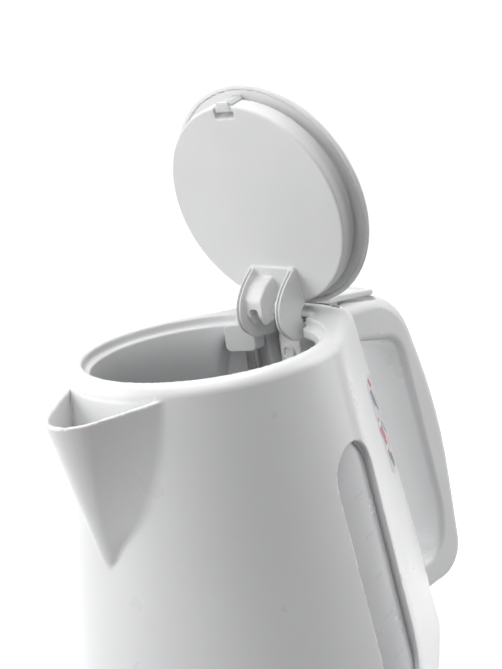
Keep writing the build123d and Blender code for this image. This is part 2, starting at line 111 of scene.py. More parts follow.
def slab(v, low, high):
    """Distance to the layer between two values of v."""
    return np.maximum(low - v, v - high)


def drop_shape(x, y, r, kx, ky):
    """Seen from above: a circle of radius r, and the two sides that leave it for the points (kx, +-ky)."""
    y = np.abs(y)
    facing = np.arctan2(ky, kx) + np.arccos(np.clip(r / np.hypot(kx, ky), -1, 1))
    nx, ny = np.cos(facing), np.sin(facing)
    return np.where(x * ny - y * nx > 0, x * nx + y * ny, np.hypot(x, y)) - r


# %% [markdown]
# ## From a distance to a mesh
#
# The distance is read on a grid of small cells. Each cell that the surface passes through gets one point,
# and each grid edge that it crosses gets a four-sided face. Then the points are evened out and slid down the
# slope of the distance, so that they lie exactly on the surface. The slope is also the exact direction that
# the surface faces, and it goes into the mesh as custom normals: gloss shows the true shape, not the cells.

# %% Skin a distance
def slope(field, p, h):
    """How fast the distance grows along X, Y and Z at each point."""
    steps = np.eye(3) * h
    return np.stack([field(*(p + d).T) - field(*(p - d).T) for d in steps], 1) / (2 * h)


def settle(field, p, reach):
    """Slide points onto the surface, no further than reach."""
    g = slope(field, p, 0.05)
    move = field(*p.T)[:, None] * g / np.maximum((g * g).sum(1), 0.2)[:, None]
    return p - np.clip(move, -reach, reach)


def even_out(p, faces):
    """Move each point halfway to the middle of its neighbours."""
    a = faces.ravel()
    b = np.roll(faces, -1, axis=1).ravel()
    ends, others = np.concatenate([a, b]), np.concatenate([b, a])
    count = np.bincount(ends, minlength=len(p))
    total = np.stack([np.bincount(ends, p[others, i], len(p)) for i in range(3)], 1)
    return (p + total / np.maximum(count, 1)[:, None]) / 2


def grid_faces(field, low, high, step):
    """One point in each cell that the surface crosses, and the faces between them."""
    axes = [np.arange(a, b + step, step) for a, b in zip(low, high)]
    inside = field(*np.meshgrid(*axes, indexing="ij", sparse=True)) < 0
    n = np.array(inside.shape) - 1
    corners = [(i, j, k) for i in (0, 1) for j in (0, 1) for k in (0, 1)]
    full = sum(inside[i:i + n[0], j:j + n[1], k:k + n[2]].astype(np.int8) for i, j, k in corners)
    crossed = (full > 0) & (full < 8)
    number = np.full(crossed.shape, -1)
    number[crossed] = np.arange(crossed.sum())
    points = np.argwhere(crossed) * step + np.array(low) + step / 2
    faces = []
    for axis in range(3):
        here = np.take(inside, range(n[axis]), axis)
        there = np.take(inside, range(1, n[axis] + 1), axis)
        edge = np.argwhere(here != there)
        side = [(axis + 1) % 3, (axis + 2) % 3]
        edge = edge[((edge[:, side] > 0) & (edge[:, side] < n[side])).all(1)]
        a, b = np.eye(3, dtype=int)[side]
        ring = [number[tuple((edge - s).T)] for s in (a + b, b, 0 * a, a)]
        ring = np.stack(ring, 1)
        outward = here[tuple(edge.T)]
        faces.append(np.where(outward[:, None], ring, ring[:, ::-1]))
    return points, np.concatenate(faces)


def mesh_piece(name, points, faces, normals=None):
    """A smooth-shaded mesh object from points in millimetres."""
    mesh = bpy.data.meshes.new(name)
    mesh.from_pydata((points * MM).tolist(), [], [list(f) for f in faces])
    mesh.shade_smooth()
    if normals is not None:
        mesh.normals_split_custom_set_from_vertices(normals.tolist())
    piece = bpy.data.objects.new(name, mesh)
    scene.collection.objects.link(piece)
    return piece


def thin_out(points, faces, keep):
    """The same surface with fewer faces: Blender's Decimate spends them where the surface bends."""
    rough = mesh_piece("rough", points, faces)
    rough.modifiers.new("fewer", "DECIMATE").ratio = keep
    made = rough.evaluated_get(bpy.context.evaluated_depsgraph_get()).data
    points = np.array([v.co for v in made.vertices]) / MM
    faces = [list(f.vertices) for f in made.polygons]
    bpy.data.objects.remove(rough)
    return points, faces


def skin(name, field, low, high, step, keep=1.0, place=None, whole=None):
    """Mesh of the surface of a distance field inside a box, then moved by place if it is given.

    A piece parted from a larger whole faces as the whole does along its outside.
    """
    points, faces = grid_faces(field, low, high, step)
    for _ in range(3):
        points = settle(field, even_out(points, faces), step)
    if keep < 1:
        points, faces = thin_out(points, faces, keep)
    points = settle(field, points, step)
    normals = slope(field, points, 0.2)
    if whole:
        outer = np.abs(whole(*points.T)) < 0.08
        normals[outer] = slope(whole, points[outer], 0.2)
    normals /= np.maximum(np.linalg.norm(normals, axis=1), 1e-9)[:, None]
    if place:
        points, normals = place(points, normals)
    print(f"{name}: {len(points)} points, {len(faces)} faces")
    return mesh_piece(name, points, faces, normals)


# %% [markdown]
# ## Outlines
#
# Cheeks, levers and handles are flat outlines given a thickness. Each corner of an outline is written as
# x, z and a radius, and an arc that meets both sides smoothly takes its place.

# %% Rounded outlines and their distance
def outline(corners, steps=7):
    """Closed outline from (x, z, radius) corners."""
    spots = np.array([c[:2] for c in corners], float)
    out = []
    for i, (_, _, r) in enumerate(corners):
        p = spots[i]
        a, b = spots[i - 1] - p, spots[(i + 1) % len(spots)] - p
        a, b = a / np.linalg.norm(a), b / np.linalg.norm(b)
        half = math.acos(np.clip(a @ b, -1, 1)) / 2
        if r == 0:
            out.append(p)
            continue
        centre = p + (a + b) / np.linalg.norm(a + b) * r / math.sin(half)
        start, stop = p + a * r / math.tan(half) - centre, p + b * r / math.tan(half) - centre
        first = math.atan2(start[1], start[0])
        turn = (math.atan2(stop[1], stop[0]) - first + math.pi) % math.tau - math.pi
        angles = first + turn * np.linspace(0, 1, steps)
        out += [centre + r * np.array([math.cos(a), math.sin(a)]) for a in angles]
    return np.array(out)


def flat(points, x, z):
    """Distance from (x, z) to a closed outline, less than zero inside."""
    x, z = np.broadcast_arrays(x, z)
    best = np.full(x.shape, 1e9)
    within = np.zeros(x.shape, bool)
    for (ax, az), (bx, bz) in zip(points, np.roll(points, -1, 0)):
        ex, ez = bx - ax, bz - az
        t = np.clip(((x - ax) * ex + (z - az) * ez) / max(ex * ex + ez * ez, 1e-12), 0, 1)
        best = np.minimum(best, (x - ax - t * ex) ** 2 + (z - az - t * ez) ** 2)
        if abs(ez) > 1e-9:
            within ^= ((az > z) != (bz > z)) & (x < (z - az) * ex / ez + ax)
    return np.where(within, -1, 1) * np.sqrt(best)


# %% [markdown]
# ## Main sizes of the kettle
#
# The rim's height is read from the CAD part, and so is the lid's turn. The other numbers are the moulding's
# own: a round body that widens downwards, and a pillar at the back that carries the handle.

# %% Sizes
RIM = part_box("body_shell")[1].z / MM
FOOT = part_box("body_shell")[0].z / MM
TIP_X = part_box("body_shell")[0].x / MM
RIM_R, TAPER = 59.0, 0.14
KNEE, SKIRT = 70.0, 34.0
WALL = 2.5
PILLAR_X, PILLAR_TAPER, PILLAR_Y = 71.0, 0.252, 25.0
print("rim", round(RIM, 1), "foot", round(FOOT, 1), "beak tip", round(TIP_X, 1))


def wall_radius(z):
    """Outer radius of the round body at height z."""
    drop = np.maximum(KNEE - np.maximum(z, SKIRT), 0)
    return RIM_R + TAPER * (RIM - np.maximum(z, KNEE) + drop - drop ** 2 / (2 * (KNEE - SKIRT)))


def pillar_rear(z):
    return PILLAR_X + PILLAR_TAPER * (RIM - z)


# %% [markdown]
# ## The body
#
# Seen from above, the body is a circle whose two flanks run off straight to a flat rear face. The flanks
# stand a millimetre proud of the circle, which shows as a soft upright line beside the water window.

# %% Outside of the body
PROUD = 1.0
PROUD_ANGLE = (74.0, 67.0)      # degrees from the handle, where the step starts and ends


def round_and_pillar(x, y, z):
    """Outside of the body, without its top and bottom."""
    angle = np.degrees(np.arctan2(np.abs(y), x))
    lift = ease((PROUD_ANGLE[0] - angle) / (PROUD_ANGLE[0] - PROUD_ANGLE[1])) * ease((z - 50) / 25)
    side = drop_shape(x, y, wall_radius(z), pillar_rear(z), PILLAR_Y)
    return both(side, (x - pillar_rear(z)) * 0.97, 7.0) - PROUD * lift


# %% [markdown]
# ## The beak
#
# The beak is a V whose two sides touch a nose circle. The circle shrinks and draws back on the way down, and
# the V's feet come together along a curve, so the beak ends in a point on the wall.

# %% The beak's distance
LIP = RIM - 5.3                 # lip where it leaves the body
LIP_X = -52.5
LIP_FALL = math.tan(math.radians(7.4))
BEAK_LOW = RIM - 76.0
BEAK_HALF = 28.0
NOSE_R = (17.0, 7.0)            # at the lip and at the point
BEAK_WALL = 2.2
NOSE_PAST = 2.2                 # the nose circle starts this far in front of the CAD beak's tip


def beak(x, y, z):
    """The solid V, before its top is cut off."""
    t = np.clip((LIP - z) / (LIP - BEAK_LOW), -0.2, 1.0)
    half = BEAK_HALF * np.maximum(1 - np.maximum(t, 0) ** 2.2, 0) ** 0.6 + 0.6
    r = wall_radius(z)
    nose_x = TIP_X - NOSE_PAST + (NOSE_PAST - wall_radius(BEAK_LOW) - TIP_X) * t + 0.8 * ease((t - 0.9) * 10)
    nose_r = np.minimum(NOSE_R[1] + (NOSE_R[0] - NOSE_R[1]) * (1 - t), 0.75 * half)
    ox = nose_x + nose_r
    root_x = -np.sqrt(np.maximum(r * r - half * half, 0))
    foot = root_x - ox
    v = drop_shape(x - ox, y, nose_r, (foot + np.sqrt(foot ** 2 + 9)) / 2, half)
    behind = np.maximum(x - root_x - 3, np.abs(y) - half - 2)
    return np.maximum(np.maximum(v, behind), (BEAK_LOW - z) * 0.7)


def lip_plane(x, z):
    return (z - LIP + (LIP_X - x) * LIP_FALL) * 0.99


# %% [markdown]
# ## Hollows of the body
#
# The water space is cut out through the mouth. Under the mouth there is a ledge, then a narrower neck, and
# below it the vessel widens to the wall again. The lid's hinge hangs in a well at the back of the neck.

# %% Hollows
MOUTH_R, NECK_R = 52.0, 49.3
LEDGE = RIM - 4.2
WELL_X, WELL_HALF = (47.0, 66.0), 15.6
WELL_FLOOR = RIM - 34.0


def vessel(x, y, z):
    """Water space, neck and mouth, with a notch under the ledge that the lid's catch snaps into.

    The neck widens slowly at the sides, and at once behind the beak and the tube.
    """
    r = np.hypot(x, y)
    angle = np.degrees(np.arctan2(np.abs(y), x))
    run = 6 + 34 * ease((angle - 31) / 12) * ease((150 - angle) / 25)
    neck_end = ease((RIM - 8 - z) / run)
    side = r - (NECK_R + (wall_radius(z) - WALL - NECK_R) * neck_end)
    hollow = join(side * 0.85, both(r - MOUTH_R, LEDGE - z, 1.0), 1.0)
    notch = both(np.maximum(np.abs(y) - 5.6, x + 30), r - MOUTH_R, 0.8)
    hollow = np.minimum(hollow, np.maximum(notch, RIM - 15 - z))
    return np.maximum(hollow, 51.5 - z)


def underfloor(x, y, z):
    r = np.hypot(x, y)
    return both(r - wall_radius(z) + WALL, z - 49.0, 0.5)


def hinge_well(x, y, z):
    side = np.maximum(np.abs(y) - WELL_HALF, WELL_FLOOR - z)
    deep = np.maximum(slab(x, WELL_X[0], WELL_X[1]), z - (RIM - 2.6))
    front = slab(x, 45.0, 57.0)
    return both(np.minimum(deep, front), side, 1.0)


def pour_slots(x, y, z):
    """Five upright slots in the wall behind the beak."""
    pitch = 6.5
    row = np.clip(np.round(y / pitch), -2, 2) * pitch
    pill = np.hypot(y - row, np.maximum(np.abs(z - (RIM - 30)) - 10, 0)) - 1.6
    through = slab(np.hypot(x, y) - wall_radius(z), -14, 0.6)
    return np.maximum(np.maximum(pill, through), x)


def lever_pocket(x, y, z):
    """Shallow pocket under the lid's lever, with two deeper ones for its lugs."""
    floor = RIM - 0.4 - 0.126 * (x - 71.6) - 1.7 * np.clip((x - 77) / 28, 0, 1)
    shallow = both(both(slab(x, 70.6, 105.9), np.abs(y) - 12.4, 1.5), floor - z, 0.5)
    lugs = np.maximum(both(slab(x, 73.2, 81.4), np.abs(np.abs(y) - 8) - 2.3, 0.4), RIM - 7.6 - z)
    return np.minimum(shallow, lugs)


# %% [markdown]
# ## Window openings
#
# Each side has an upright pill-shaped window. Its hole is cut square to the wall.

# %% Window holes
WINDOW_ANGLE = 76.7
WINDOW_HALF_W, WINDOW_LEN = 14.8, 116.0
WINDOW_MID = RIM - 41.5 - WINDOW_LEN / 2


def window_pill(x, y, z):
    """Distance to the pill, seen square to the wall, and the way out along it."""
    a = math.radians(WINDOW_ANGLE)
    out = x * math.cos(a) + np.abs(y) * math.sin(a)
    across = np.abs(y) * math.cos(a) - x * math.sin(a)
    straight = WINDOW_LEN / 2 - WINDOW_HALF_W
    pill = np.hypot(across, np.maximum(np.abs(z - WINDOW_MID) - straight, 0)) - WINDOW_HALF_W
    return pill, out


def window_hole(x, y, z):
    pill, out = window_pill(x, y, z)
    return np.maximum(pill, 40 - out)


# %% [markdown]
# ## The handle's shape
#
# The handle is an outline with a finger hole, given its width, with full rounds on the outside and softer
# ones round the hole. It is joined to the body by a wide hollow, as on the real moulding, and then the two
# are parted along a plane just behind the pillar, where the real handle is screwed on.

# %% The handle's distance
HANDLE_HALF = 15.0
HANDLE_OUTLINE = outline([(60, RIM - 1, 0), (121.5, RIM - 4, 36), (149.5, RIM - 75, 240),
                          (157.5, RIM - 168.5, 18), (132, RIM - 168, 0), (90, RIM - 170, 0)])
FINGER_HOLE = outline([(78.5, RIM - 20.5, 2), (117.5, RIM - 29, 14), (138.5, RIM - 128, 60),
                       (136, RIM - 150, 12), (108, RIM - 150, 3)])
SEAM = 3.0                      # parting plane behind the pillar's rear face


def handle(x, y, z):
    side = np.abs(y) - HANDLE_HALF
    back = flat(HANDLE_OUTLINE, x, z)
    hole = -flat(FINGER_HOLE, x, z)
    return both(both(back, side, 7.0), hole, 3.5)


def underside(x, z):
    return (FOOT + np.maximum(x - 86, 0) * 0.338 - z) * 0.95


def outside(x, y, z):
    """Body, beak and handle as one solid."""
    top = both(round_and_pillar(x, y, z), z - RIM, 5.0)
    near = join(top, handle(x, y, z), 5.0)
    front = both(beak(x, y, z), lip_plane(x, z), 0.7)
    return both(join(near, front, 0.8), underside(x, z), 1.0)


# %% [markdown]
# ## The body piece
#
# Everything that the body is hollowed by is cut out of the outside, one hollow after another, and each cut
# has its own small round. The parted solid keeps only the lever's pocket: near the parting line it tells
# which way the surface faces, so that body and handle shade as one.

# %% Body piece
def body(x, y, z):
    solid = np.maximum(outside(x, y, z), (x - pillar_rear(z) - SEAM) * 0.97)
    solid = cut(solid, vessel(x, y, z), 0.9)
    solid = cut(solid, underfloor(x, y, z), 0.5)
    channel = np.maximum(beak(x, y, z) + BEAK_WALL, -round_and_pillar(x, y, z))
    solid = cut(solid, channel, 0.7)
    solid = cut(solid, hinge_well(x, y, z), 0.8)
    solid = cut(solid, pour_slots(x, y, z), 0.4)
    solid = cut(solid, lever_pocket(x, y, z), 0.5)
    return cut(solid, window_hole(x, y, z), 1.2)


def parted(x, y, z):
    """The body before its hollows, which also tells which way the body faces at the parting line."""
    return cut(outside(x, y, z), lever_pocket(x, y, z), 0.5)


body_low, body_high = (-88, -83, FOOT - 1.5), (122, 83, RIM + 1.5)
body_piece = skin("kettle_body", body, body_low, body_high, 1.15, 0.7, whole=parted)
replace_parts(body_piece, "body_shell")

# %% [markdown]
# ## The handle piece
#
# The real handle is hollow, and its two mouldings close so well that the outside reads as one smooth piece.
# So one piece stands for both CAD halves. It has a tongue that reaches a little way inside the pillar, a
# hair below the surface, and the parting line stays a fine shadow.

# %% Handle piece
TONGUE = 2.0


def whole_handle(x, y, z):
    solid = parted(x, y, z)
    parting = (pillar_rear(z) + SEAM - x) * 0.97
    return np.minimum(np.maximum(solid, parting + 0.03), np.maximum(solid + 0.07, parting - TONGUE))


handle_low, handle_high = (70, -27, RIM - 171), (158, 27, RIM + 2)
handle_piece = skin("kettle_handle", whole_handle, handle_low, handle_high, 1.1, 0.7, whole=parted)
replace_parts(handle_piece, "handle_inner", "handle_cover")

# %% [markdown]
# ## Water windows
#
# Each window is a thin curved strip set back in its hole, with short level marks moulded on it. It follows
# the same wall as the body, so it is the body's own distance moved inwards.

# %% Window strips
SET_BACK, WINDOW_THICK = 2.1, 1.6
MARK_PITCH, MARK_TALL, MARK_PROUD = 18.0, 1.0, 0.16


def window_strip(x, y, z):
    pill, out = window_pill(x, y, z)
    across = np.abs(y) * math.cos(math.radians(WINDOW_ANGLE)) - x * math.sin(math.radians(WINDOW_ANGLE))
    wall = np.hypot(x, y) - wall_radius(z)
    level = (z - WINDOW_MID) / MARK_PITCH
    near = np.clip(np.round(level), -2, 2)
    mark = np.maximum(np.abs(level - near) * MARK_PITCH - MARK_TALL / 2, np.abs(across) - 4.0)
    face = wall + SET_BACK - MARK_PROUD * ease(-mark / 0.4)
    strip = np.maximum(face, -(wall + SET_BACK + WINDOW_THICK))
    return both(strip, np.maximum(pill + 0.15, 30 - out), 0.3)


for side, name in ((-1, "water_gauge_right"), (1, "water_gauge_left")):
    low = (0, min(side * 50, side * 80), WINDOW_MID - 60)
    high = (36, max(side * 50, side * 80), WINDOW_MID + 60)
    strip = skin(name + "_strip", window_strip, low, high, 0.9, 0.5)
    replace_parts(strip, name)

# %% [markdown]
# ## The lid
#
# The lid is modelled shut, where it is easy to measure, and each point is then turned about the hinge to
# where the lid stands open. The hinge and the angle come from the frame's own joint. The cover is a shallow
# dome with a rolled edge, and under it sits a deep plug with a groove round its root.

# %% Lid pieces
SWING = next(j for j in frame["joints"] if j["name"] == "lid_swing")
HINGE = np.array(SWING["pos_m"]) / MM
OPEN = math.radians(-SWING["range_deg"][0])
OPEN_TURN = np.array([[math.cos(OPEN), 0, math.sin(OPEN)],
                      [0, 1, 0],
                      [-math.sin(OPEN), 0, math.cos(OPEN)]])
LID_R, PLUG_R, PLUG_FACE = 53.6, 48.0, RIM - 9.4
print("lid opens", round(math.degrees(OPEN), 1), "degrees about", HINGE.round(1))


def opened(points, normals):
    """From the closed lid to the open one."""
    return (points - HINGE) @ OPEN_TURN.T + HINGE, normals @ OPEN_TURN.T


def lid_top(r):
    return RIM + 7.6 - 4.2 * np.clip(r / LID_R, 0, 1.1) ** 2.4


def lid_cover(x, y, z):
    r = np.hypot(x, y)
    dome = both(both((z - lid_top(r)) * 0.98, r - LID_R, 2.0), RIM + 0.8 - z, 0.7)
    return cut(dome, np.maximum(r - 51.3, z - lid_top(r) + 2.4), 0.3)


def lid_plug(x, y, z):
    r = np.hypot(x, y)
    plug = both(r - PLUG_R, PLUG_FACE - z, 1.2)
    groove = both(slab(z, RIM - 1.3, RIM + 1.2), 45.4 - r, 0.3)
    flange = both(r - 51.1, RIM + 1.2 - z, 0.4)
    root = np.maximum(flange, slab(z, RIM, RIM + 3))
    solid = np.maximum(np.minimum(cut(plug, groove, 0.6), root), z - RIM - 3.0)
    pocket = both(both(x + 42.6, np.abs(y) - 5.4, 0.6), slab(z, PLUG_FACE - 2, RIM + 1.1), 0.4)
    return cut(solid, pocket, 0.4)


def lid_tongue(x, y, z):
    ribs = 0.7 * np.cos(y * math.tau / 2.4) * ease((-x - 47.4) / 1.0) * ease((z - PLUG_FACE - 2) / 1.5)
    side = np.abs(y) - 3.6
    strip = both(side, slab(z, PLUG_FACE + 0.6, RIM + 0.9), 0.4)
    strip = both(slab(x, -48.5, -45.2) - ribs, strip, 0.4)
    lip = both(side, slab(z, PLUG_FACE + 0.6, PLUG_FACE + 1.9), 0.3)
    lip = both(slab(x, -49.5, -46.4), lip, 0.3)
    floor = both(np.abs(y) - 5.2, slab(z, PLUG_FACE + 0.9, PLUG_FACE + 2.4), 0.3)
    floor = both(slab(x, -47.2, -44.9), floor, 0.3)
    return join(join(strip, lip, 0.4), floor, 0.3) * 0.85


def lid_box(low, high):
    """A box round the closed lid between two heights."""
    reach = 55.5
    return (-reach, -reach, low), (reach, reach, high)


cover_piece = skin("lid_outer_shell", lid_cover, *lid_box(RIM - 1, RIM + 9), 1.0, 0.3, opened)
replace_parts(cover_piece, "lid_cover")
plug_piece = skin("lid_plug_shell", lid_plug, *lid_box(PLUG_FACE - 2, RIM + 4), 0.9, 0.3, opened)
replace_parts(plug_piece, "lid_inner")
tongue_low, tongue_high = (-51, -6, PLUG_FACE - 1), (-44, 6, RIM + 2)
tongue_piece = skin("lid_catch_tongue", lid_tongue, tongue_low, tongue_high, 0.3, 0.6, opened)
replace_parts(tongue_piece, "lid_catch")

# %% [markdown]
# ## The lid's hinge
#
# Two thin crescent cheeks stand on the plug and carry the hinge pin. Between them, on one side, sits a
# hooked block with a slot in its end. Outlines with a little thickness and small rounds make all of it.

# %% Hinge cheeks and block
CHEEK = outline([(28.5, RIM - 9.2, 0.6), (33.5, RIM - 19.5, 30), (41, RIM - 27.4, 16), (51, RIM - 28.8, 10),
                 (59, RIM - 23, 8), (63.2, RIM - 11, 8), (63.2, RIM - 3.3, 3.2), (56.4, RIM - 3.3, 3.2),
                 (55.5, RIM - 14.2, 3), (49.5, RIM - 14.6, 3), (46, RIM - 9.0, 1)])
BLOCK = outline([(33, RIM - 9.0, 0.6), (35, RIM - 17, 12), (39.5, RIM - 22.5, 5), (47, RIM - 24.3, 5),
                 (52, RIM - 22.5, 1), (52, RIM - 17.6, 1), (46, RIM - 15, 3), (43, RIM - 9.0, 0.6)])


CHEEK_Y = 11.9                  # middle of each cheek's thickness


def hinge_part(x, y, z):
    edge = flat(CHEEK, x, z)
    from_middle = np.abs(np.abs(y) - CHEEK_Y)
    cheeks = both(edge, from_middle - 1.5, 0.5)
    groove = np.maximum(from_middle - 0.55, -2.4 - edge)
    cheeks = cut(cheeks, np.maximum(groove, x - 55), 0.25)
    block = both(flat(BLOCK, x, z), slab(y, 0.6, 10.6), 0.9)
    slot = both(slab(x, 44.0, 60), slab(y, 3.4, 8.2), 1.6)
    foot = both(slab(z, PLUG_FACE - 1.4, PLUG_FACE + 0.6), both(slab(x, 28.6, 44), np.abs(y) - 13, 1.0), 0.5)
    solid = join(join(cheeks, cut(block, slot, 0.5), 0.5), foot, 1.0)
    bore = np.hypot(x - HINGE[0], z - HINGE[2]) - 1.55
    return cut(solid, bore, 0.2)


hinge_low, hinge_high = (27, -14.5, RIM - 31), (65, 14.5, RIM - 1)
hinge_piece = skin("lid_hinge_cheeks", hinge_part, hinge_low, hinge_high, 0.45, 0.4, opened)
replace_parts(hinge_piece, "lid_hinge")

# %% [markdown]
# ## Fittings in the hinge well
#
# A bracket behind the neck holds the pin. Its middle is a smooth plate with a round boss, and a channel
# runs down each side of it. Beside it a block hugs the wall and holds the top of the steam tube.

# %% Bracket and steam block
BOSS = (1.2, RIM - 19.0)        # y, z of the boss on the bracket's plate


def bracket(x, y, z):
    plate = both(slab(x, 54.4, 64.5), both(np.abs(y) - 6.2, slab(z, RIM - 33.8, RIM - 10.6), 1.0), 0.8)
    head = both(slab(x, 57.8, 64.5), both(np.abs(y) - 6.2, slab(z, RIM - 14, RIM - 3.6), 0.8), 0.8)
    rear = both(slab(x, 63.6, 65.8), both(np.abs(y) - 15.2, slab(z, RIM - 33.8, RIM - 3), 0.6), 0.5)
    lugs = both(np.abs(np.abs(y) - 14.4) - 0.8, slab(z, RIM - 12, RIM - 3.2), 0.4)
    lugs = both(slab(x, 57.0, 64.5), lugs, 0.3)
    solid = join(join(plate, head, 0.8), join(rear, lugs, 0.5), 0.8)
    from_boss = np.hypot(y - BOSS[0], z - BOSS[1])
    boss = both(slab(x, 53.3, 56), np.abs(from_boss - 3.1) - 0.9, 0.4)
    solid = join(solid, boss, 0.4)
    return cut(solid, np.hypot(x - HINGE[0], z - HINGE[2]) - 1.52, 0.2)


def steam_block(x, y, z):
    r = np.hypot(x, y)
    across = np.abs(y - 20.6) - 6.6
    face = both(across, slab(z, RIM - 17.5, RIM - 4.4), 2.6)
    return both(face, slab(r, 48.2, 55.0 - 5.2 * ease((z - RIM + 12) / 3)), 0.6)


bracket_piece = skin("hinge_bracket_plate", bracket, (52, -17, RIM - 36), (67, 17, RIM - 1), 0.6, 0.5)
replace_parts(bracket_piece, "hinge_bracket")
steam_piece = skin("steam_block", steam_block, (37, 9, RIM - 21), (59, 30, RIM - 3), 0.55, 0.5)
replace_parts(steam_piece, "steam_hood")

# %% [markdown]
# ## The steam tube
#
# A thin steel tube leads steam down to the switch. The cut through one side of its wall is a small upright
# rectangle. Turned about the tube's middle line, it makes the outside, the bore and both rims at once, and
# a small bevel breaks the edges. Its place and its radius are read from the CAD tube.

# %% Steam tube
def lathe(name, ring, centre, count):
    """A closed ring of (radius, height) corners turned about an upright line, with a small bevel."""
    turns = [math.tau * i / count for i in range(count)]
    points = [(centre[0] + r * math.cos(a), centre[1] + r * math.sin(a), z) for a in turns for r, z in ring]
    n = len(ring)
    faces = [(i * n + k, (i + 1) % count * n + k, (i + 1) % count * n + (k + 1) % n, i * n + (k + 1) % n)
             for i in range(count) for k in range(n)]
    piece = mesh_piece(name, np.array(points), faces)
    bevel = piece.modifiers.new("edges", "BEVEL")
    bevel.width, bevel.segments, bevel.limit_method = 0.25 * MM, 2, "ANGLE"
    piece.modifiers.new("normals", "WEIGHTED_NORMAL")
    return piece


def tube(name, low, high, centre, r, wall):
    ring = [(r, low), (r, high), (r - wall, high), (r - wall, low)]
    return lathe(name, ring, centre, 48)


tube_low, tube_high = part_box("steam_tube")
tube_middle = (tube_low + tube_high) / 2 / MM
tube_r = (tube_high.x - tube_low.x) / 2 / MM
tube_piece = tube("steam_pipe_tube", tube_low.z / MM, tube_high.z / MM, tube_middle, tube_r, 0.8)
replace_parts(tube_piece, "steam_tube")
print("steam tube:", round(tube_r * 2, 1), "mm wide")

# %% [markdown]
# ## Lever, switch and base
#
# The lid's lever is a plate that lies in the handle's top and slopes down to the rear. The switch under the
# handle is a small paddle. The base is a flat round dish with a soft shoulder.

# %% Lever, switch and base cover
LEVER_PIN = (77.0, RIM - 3.6)
LEVER = outline([(71.6, RIM + 0.2, 0.6), (71.6, RIM + 3.0, 1.0), (80, RIM + 2.6, 20), (104.6, RIM - 0.6, 1.2),
                 (105.4, RIM - 3.6, 0.8), (92, RIM - 2.2, 10)])
LUG = outline([(74, RIM + 1.2, 0), (80.4, RIM + 0.6, 0), (80.4, RIM - 6.4, 3), (74, RIM - 6.4, 3)])
SWITCH_PIN = (104.0, 31.0)
PADDLE = outline([(100, 28.4, 1), (116, 28.8, 20), (130, 29.4, 1.6), (129, 33.4, 1.6), (116, 33.6, 20),
                  (105.6, 33.6, 0.6), (105.4, 39.4, 1.4), (102.4, 39.4, 1.4), (102.4, 33.6, 0.6),
                  (100, 33.6, 1)])
BASE_R, BASE_TOP = 78.0, 20.0
BASE_LEAN, BASE_WALL = 0.05, 2.9
DISH, DISH_R = 16.5, 58.0       # height and radius of the flat middle
SHOULDER_R = 56.5               # radius from which the shoulder's rise is counted


def lever(x, y, z):
    plate = both(flat(LEVER, x, z), np.abs(y) - 12.0, 0.8)
    ridge = both(np.hypot(x - 100.5, (z - RIM - 0.2) * 2.2) - 1.6, np.abs(y) - 9, 0.6)
    lugs = both(flat(LUG, x, z), np.abs(np.abs(y) - 8) - 1.8, 0.4)
    solid = join(join(plate, ridge, 0.8), lugs, 0.5)
    return cut(solid, np.hypot(x - LEVER_PIN[0], z - LEVER_PIN[1]) - 1.25, 0.2)


def switch_paddle(x, y, z):
    paddle = both(flat(PADDLE, x, z), np.abs(y) - 8.0, 0.8)
    return cut(paddle, np.hypot(x - SWITCH_PIN[0], z - SWITCH_PIN[1]) - 1.55, 0.2)


def base_cover(x, y, z):
    r = np.hypot(x, y)
    lean = r - BASE_R + BASE_LEAN * (z - 2)
    dish = np.where(r < DISH_R, DISH, DISH + (BASE_TOP - DISH) * ease((r - SHOULDER_R) / 4.5))
    outer = both(both(lean, (z - np.minimum(dish, BASE_TOP)) * 0.9, 4.0), 2.0 - z, 0.6)
    inner = np.maximum(r - BASE_R + BASE_WALL + BASE_LEAN * (z - 2), z - dish + 2.3)
    solid = cut(outer, inner, 0.4)
    solid = cut(solid, r - 19.3, 0.8)
    outlet = np.maximum(np.hypot(y, z - 6.0) - 4.5, 60 - x)
    return cut(solid, outlet, 0.5)


lever_piece = skin("lid_lever_plate", lever, (69, -14, RIM - 8), (108, 14, RIM + 5), 0.6, 0.5)
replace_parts(lever_piece, "lid_lever")
paddle_piece = skin("switch_paddle", switch_paddle, (98, -10, 26), (132, 10, 41), 0.6, 0.5)
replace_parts(paddle_piece, "switch_lever")
base_piece = skin("base_dish", base_cover, (-80, -80, 0.5), (80, 80, 22), 1.2, 0.4)
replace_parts(base_piece, "base_cover")

# %% [markdown]
# ## The label
#
# A thin film lies on the pillar's flank, beside the handle. It is a fine grid laid on the flank, and each
# point carries a place on the film, so that the print can be worked out from it.

# %% Label film
LABEL_LOW, LABEL_HIGH = RIM - 81.0, RIM - 29.0
LABEL_HALF = 7.5
LABEL_BACK = 13.8               # from the label's middle line to the pillar's rear face
LABEL_GRID = (29, 113)
FILM_THICK, FILM_TOP = 0.1, 0.12


